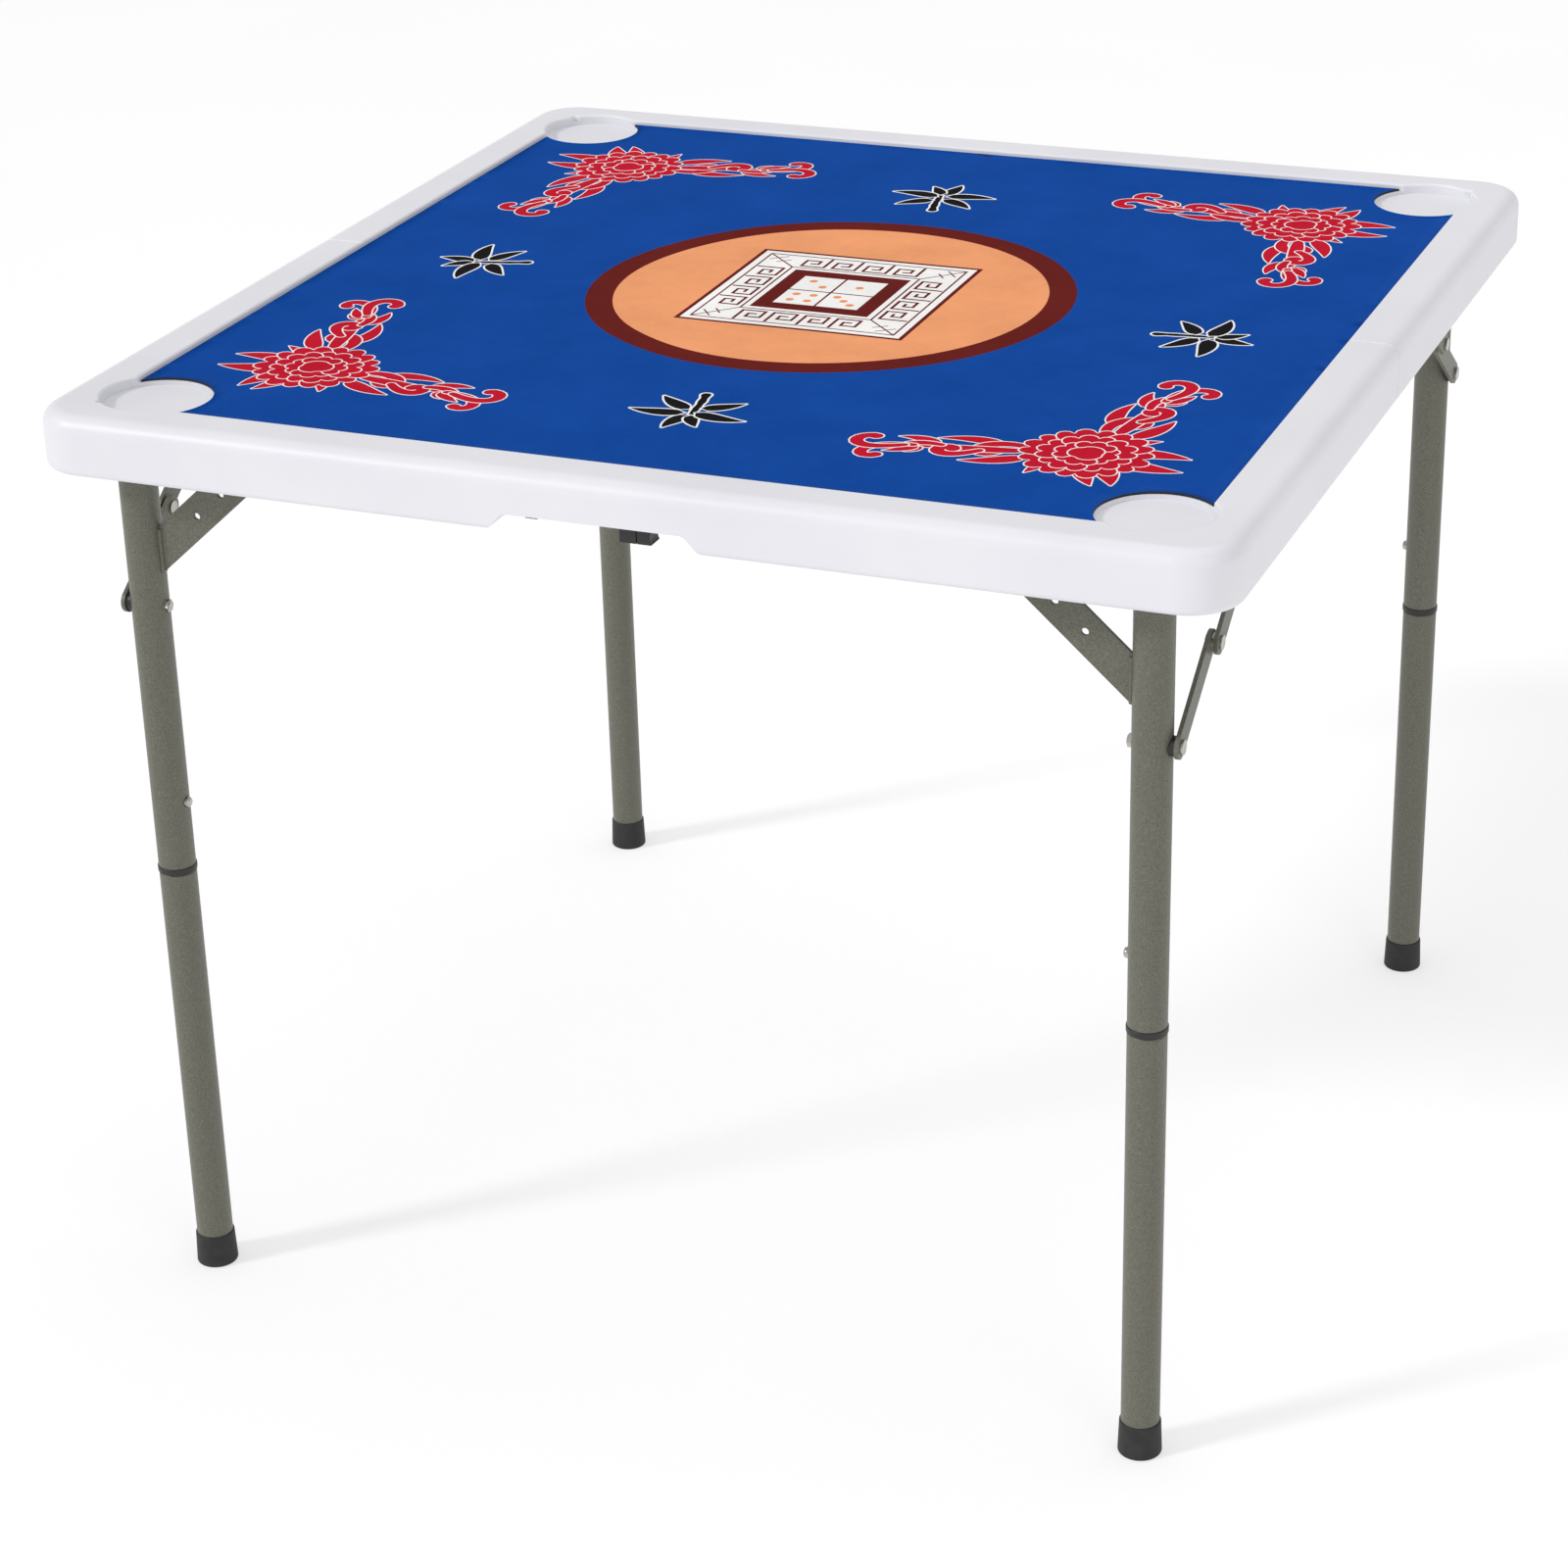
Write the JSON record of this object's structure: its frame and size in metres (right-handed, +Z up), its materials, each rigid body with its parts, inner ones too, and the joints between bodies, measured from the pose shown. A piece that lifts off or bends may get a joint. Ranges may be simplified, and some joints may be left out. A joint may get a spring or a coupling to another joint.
{
  "type": "blackjack table",
  "caption": "Square folding games table: moulded top hinged in halves, loose printed mat, corner cup recesses, folding steel legs with plug-in lower tubes, carrying handle.",
  "frame": {"origin": "on the floor, under the middle of the square top", "axes": "+Z up; X along the fold line; -Y is the half with the carrying handle"},
  "size_m": [0.88, 0.88, 0.71],
  "materials": {
    "moulded_top": "fine moulded texture",
    "printed_mat": "printed knitted face",
    "zinc_steel": "zinc plated",
    "bright_steel": "plated",
    "spring_steel": "plain",
    "black_plastic": "moulded",
    "black_rubber": "moulded",
    "coated_steel": "powder coated, khaki grey"
  },
  "bodies": {
    "back_half": {"top_shell_back": "moulded_top", "mat_back": "printed_mat", "hinge_leaves_back": "zinc_steel", "hinge_screws_back": "zinc_steel", "hinge_pins": "zinc_steel", "side_rails_back": "zinc_steel", "rail_screws_back": "zinc_steel", "strut_top_rivets_back": "bright_steel"},
    "front_half": {"top_shell_front": "moulded_top", "mat_front": "printed_mat", "hinge_leaves_front": "zinc_steel", "hinge_screws_front": "zinc_steel", "side_rails_front": "zinc_steel", "rail_screws_front": "zinc_steel", "strut_top_rivets_front": "bright_steel", "handle_brackets": "black_plastic", "handle_clip": "black_plastic"},
    "handle": {"handle": "black_plastic"},
    "back_frame": {"cross_tube_back": "coated_steel", "cross_tube_plugs_back": "black_plastic", "upper_leg_back_left": "coated_steel", "upper_leg_back_right": "coated_steel", "gussets_back": "coated_steel", "gusset_welds_back": "coated_steel", "strut_bolts_back": "bright_steel", "strut_nuts_back": "bright_steel", "strut_spacers_back": "black_plastic", "leg_collars_back": "black_plastic", "button_springs_back": "spring_steel"},
    "strut_lower_back": {"strut_lower_links_back": "coated_steel", "knee_rivet_stubs_back": "bright_steel"},
    "strut_upper_back": {"strut_upper_links_back": "coated_steel", "knee_rivet_heads_back": "bright_steel"},
    "lower_leg_back_left": {"lower_leg_back_left": "coated_steel", "foot_back_left": "black_rubber"},
    "push_button_back_left": {"push_button_back_left": "bright_steel"},
    "lower_leg_back_right": {"lower_leg_back_right": "coated_steel", "foot_back_right": "black_rubber"},
    "push_button_back_right": {"push_button_back_right": "bright_steel"},
    "front_frame": {"cross_tube_front": "coated_steel", "cross_tube_plugs_front": "black_plastic", "upper_leg_front_left": "coated_steel", "upper_leg_front_right": "coated_steel", "gussets_front": "coated_steel", "gusset_welds_front": "coated_steel", "strut_bolts_front": "bright_steel", "strut_nuts_front": "bright_steel", "strut_spacers_front": "black_plastic", "leg_collars_front": "black_plastic", "button_springs_front": "spring_steel"},
    "strut_lower_front": {"strut_lower_links_front": "coated_steel", "knee_rivet_stubs_front": "bright_steel"},
    "strut_upper_front": {"strut_upper_links_front": "coated_steel", "knee_rivet_heads_front": "bright_steel"},
    "lower_leg_front_left": {"lower_leg_front_left": "coated_steel", "foot_front_left": "black_rubber"},
    "push_button_front_left": {"push_button_front_left": "bright_steel"},
    "lower_leg_front_right": {"lower_leg_front_right": "coated_steel", "foot_front_right": "black_rubber"},
    "push_button_front_right": {"push_button_front_right": "bright_steel"}
  },
  "joints": [
    {"name": "top_fold", "type": "hinge", "parent": "back_half", "child": "front_half", "pos_m": [0, 0, 0.6658], "axis": [-1, 0, 0], "range_deg": [-50, 0]},
    {"name": "handle_swing", "type": "hinge", "parent": "front_half", "child": "handle", "pos_m": [0, -0.405, 0.67], "axis": [-1, 0, 0], "range_deg": [0, 180]},
    {"name": "back_frame_fold", "type": "hinge", "parent": "back_half", "child": "back_frame", "pos_m": [0, 0.395, 0.6835], "axis": [-1, 0, 0], "range_deg": [0, 90]},
    {"name": "strut_lower_back_turn", "type": "hinge", "parent": "back_frame", "child": "strut_lower_back", "pos_m": [0, 0.395, 0.556], "axis": [-1, 0, 0], "range_deg": [0, 55.93]},
    {"name": "strut_upper_back_turn", "type": "hinge", "parent": "back_half", "child": "strut_upper_back", "pos_m": [0, 0.21, 0.6835], "axis": [1, 0, 0], "range_deg": [0, 35.07]},
    {"name": "lower_leg_back_left_pull", "type": "slide", "parent": "back_frame", "child": "lower_leg_back_left", "axis": [0, 0, 1], "range_m": [-0.1, 0]},
    {"name": "push_button_back_left_press", "type": "slide", "parent": "back_frame", "child": "push_button_back_left", "axis": [-1, 0, 0], "range_m": [0, 0.004], "stiffness_N_per_m": 400, "deforming": ["button_springs_back"]},
    {"name": "lower_leg_back_right_pull", "type": "slide", "parent": "back_frame", "child": "lower_leg_back_right", "axis": [0, 0, 1], "range_m": [-0.1, 0]},
    {"name": "push_button_back_right_press", "type": "slide", "parent": "back_frame", "child": "push_button_back_right", "axis": [1, 0, 0], "range_m": [0, 0.004], "stiffness_N_per_m": 400, "deforming": ["button_springs_back"]},
    {"name": "front_frame_fold", "type": "hinge", "parent": "front_half", "child": "front_frame", "pos_m": [0, -0.395, 0.6835], "axis": [1, 0, 0], "range_deg": [0, 72]},
    {"name": "strut_lower_front_turn", "type": "hinge", "parent": "front_frame", "child": "strut_lower_front", "pos_m": [0, -0.395, 0.556], "axis": [1, 0, 0], "range_deg": [0, 51.31]},
    {"name": "strut_upper_front_turn", "type": "hinge", "parent": "front_half", "child": "strut_upper_front", "pos_m": [0, -0.21, 0.6835], "axis": [-1, 0, 0], "range_deg": [0, 32.13]},
    {"name": "lower_leg_front_left_pull", "type": "slide", "parent": "front_frame", "child": "lower_leg_front_left", "axis": [0, 0, 1], "range_m": [-0.1, 0]},
    {"name": "push_button_front_left_press", "type": "slide", "parent": "front_frame", "child": "push_button_front_left", "axis": [-1, 0, 0], "range_m": [0, 0.004], "stiffness_N_per_m": 400, "deforming": ["button_springs_front"]},
    {"name": "lower_leg_front_right_pull", "type": "slide", "parent": "front_frame", "child": "lower_leg_front_right", "axis": [0, 0, 1], "range_m": [-0.1, 0]},
    {"name": "push_button_front_right_press", "type": "slide", "parent": "front_frame", "child": "push_button_front_right", "axis": [1, 0, 0], "range_m": [0, 0.004], "stiffness_N_per_m": 400, "deforming": ["button_springs_front"]}
  ],
  "couplings": [
    {"joint": "strut_lower_back_turn", "follows": "back_frame_fold", "ratio": 0.61584},
    {"joint": "strut_upper_back_turn", "follows": "back_frame_fold", "ratio": 0.38416},
    {"joint": "strut_lower_front_turn", "follows": "front_frame_fold", "ratio": 0.70571},
    {"joint": "strut_upper_front_turn", "follows": "front_frame_fold", "ratio": 0.43925}
  ]
}
